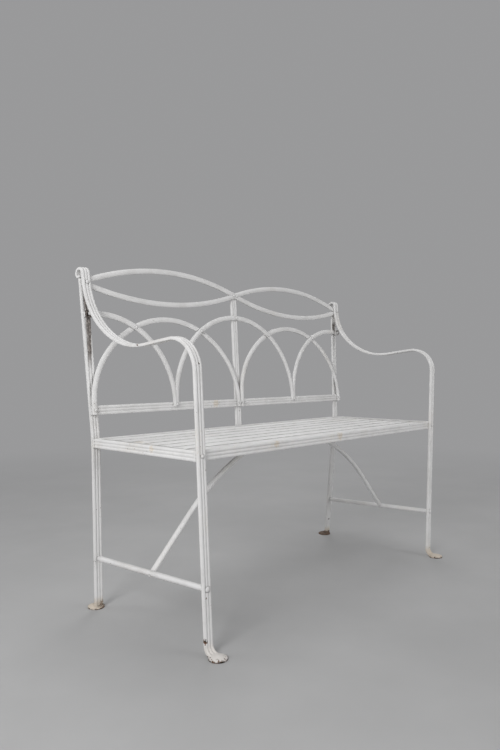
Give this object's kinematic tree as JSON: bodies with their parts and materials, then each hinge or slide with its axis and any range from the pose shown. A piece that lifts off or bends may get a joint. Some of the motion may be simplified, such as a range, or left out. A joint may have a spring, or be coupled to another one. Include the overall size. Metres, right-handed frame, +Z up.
{
  "type": "garden bench",
  "caption": "White painted iron garden bench with a slatted seat, an arched openwork back and open arms of reeded bar that end in scrolls.",
  "frame": {"origin": "on the floor, under the middle of the bounding box", "axes": "+X along the length, +Y from the front to the back, +Z up; the front faces -Y"},
  "size_m": [1.1034, 0.482, 0.8843],
  "materials": {
    "white_paint": "thick aged off-white paint, satin, chipped, with rust at the feet",
    "rusty_iron": "bare rusted iron with traces of paint"
  },
  "bodies": {
    "root": {"arch_foot_rivets": "white_paint", "arch_top_rivets": "white_paint", "back_rail": "white_paint", "centre_arch": "white_paint", "centre_post": "white_paint", "crossing_rivets": "white_paint", "left_arch": "white_paint", "left_arm_leg": "white_paint", "left_bearer": "white_paint", "left_brace": "white_paint", "left_half_arch": "white_paint", "left_ledger": "white_paint", "left_lower_wave": "white_paint", "left_nut": "rusty_iron", "left_rear_post": "white_paint", "left_stretcher": "white_paint", "left_upper_wave": "white_paint", "post_top_rivets": "white_paint", "right_arch": "white_paint", "right_arm_leg": "white_paint", "right_bearer": "white_paint", "right_brace": "white_paint", "right_half_arch": "white_paint", "right_ledger": "white_paint", "right_lower_wave": "white_paint", "right_nut": "rusty_iron", "right_rear_post": "white_paint", "right_stretcher": "white_paint", "right_upper_wave": "white_paint", "seat_frame_rivets": "white_paint", "seat_front_rail": "white_paint", "seat_left_rail": "white_paint", "seat_rear_rail": "white_paint", "seat_right_rail": "white_paint", "seat_slat_1": "white_paint", "seat_slat_2": "white_paint", "seat_slat_3": "white_paint", "seat_slat_4": "white_paint", "seat_slat_5": "white_paint", "seat_slat_6": "white_paint", "seat_slat_7": "white_paint", "slat_rivets": "white_paint"}
  },
  "joints": []
}
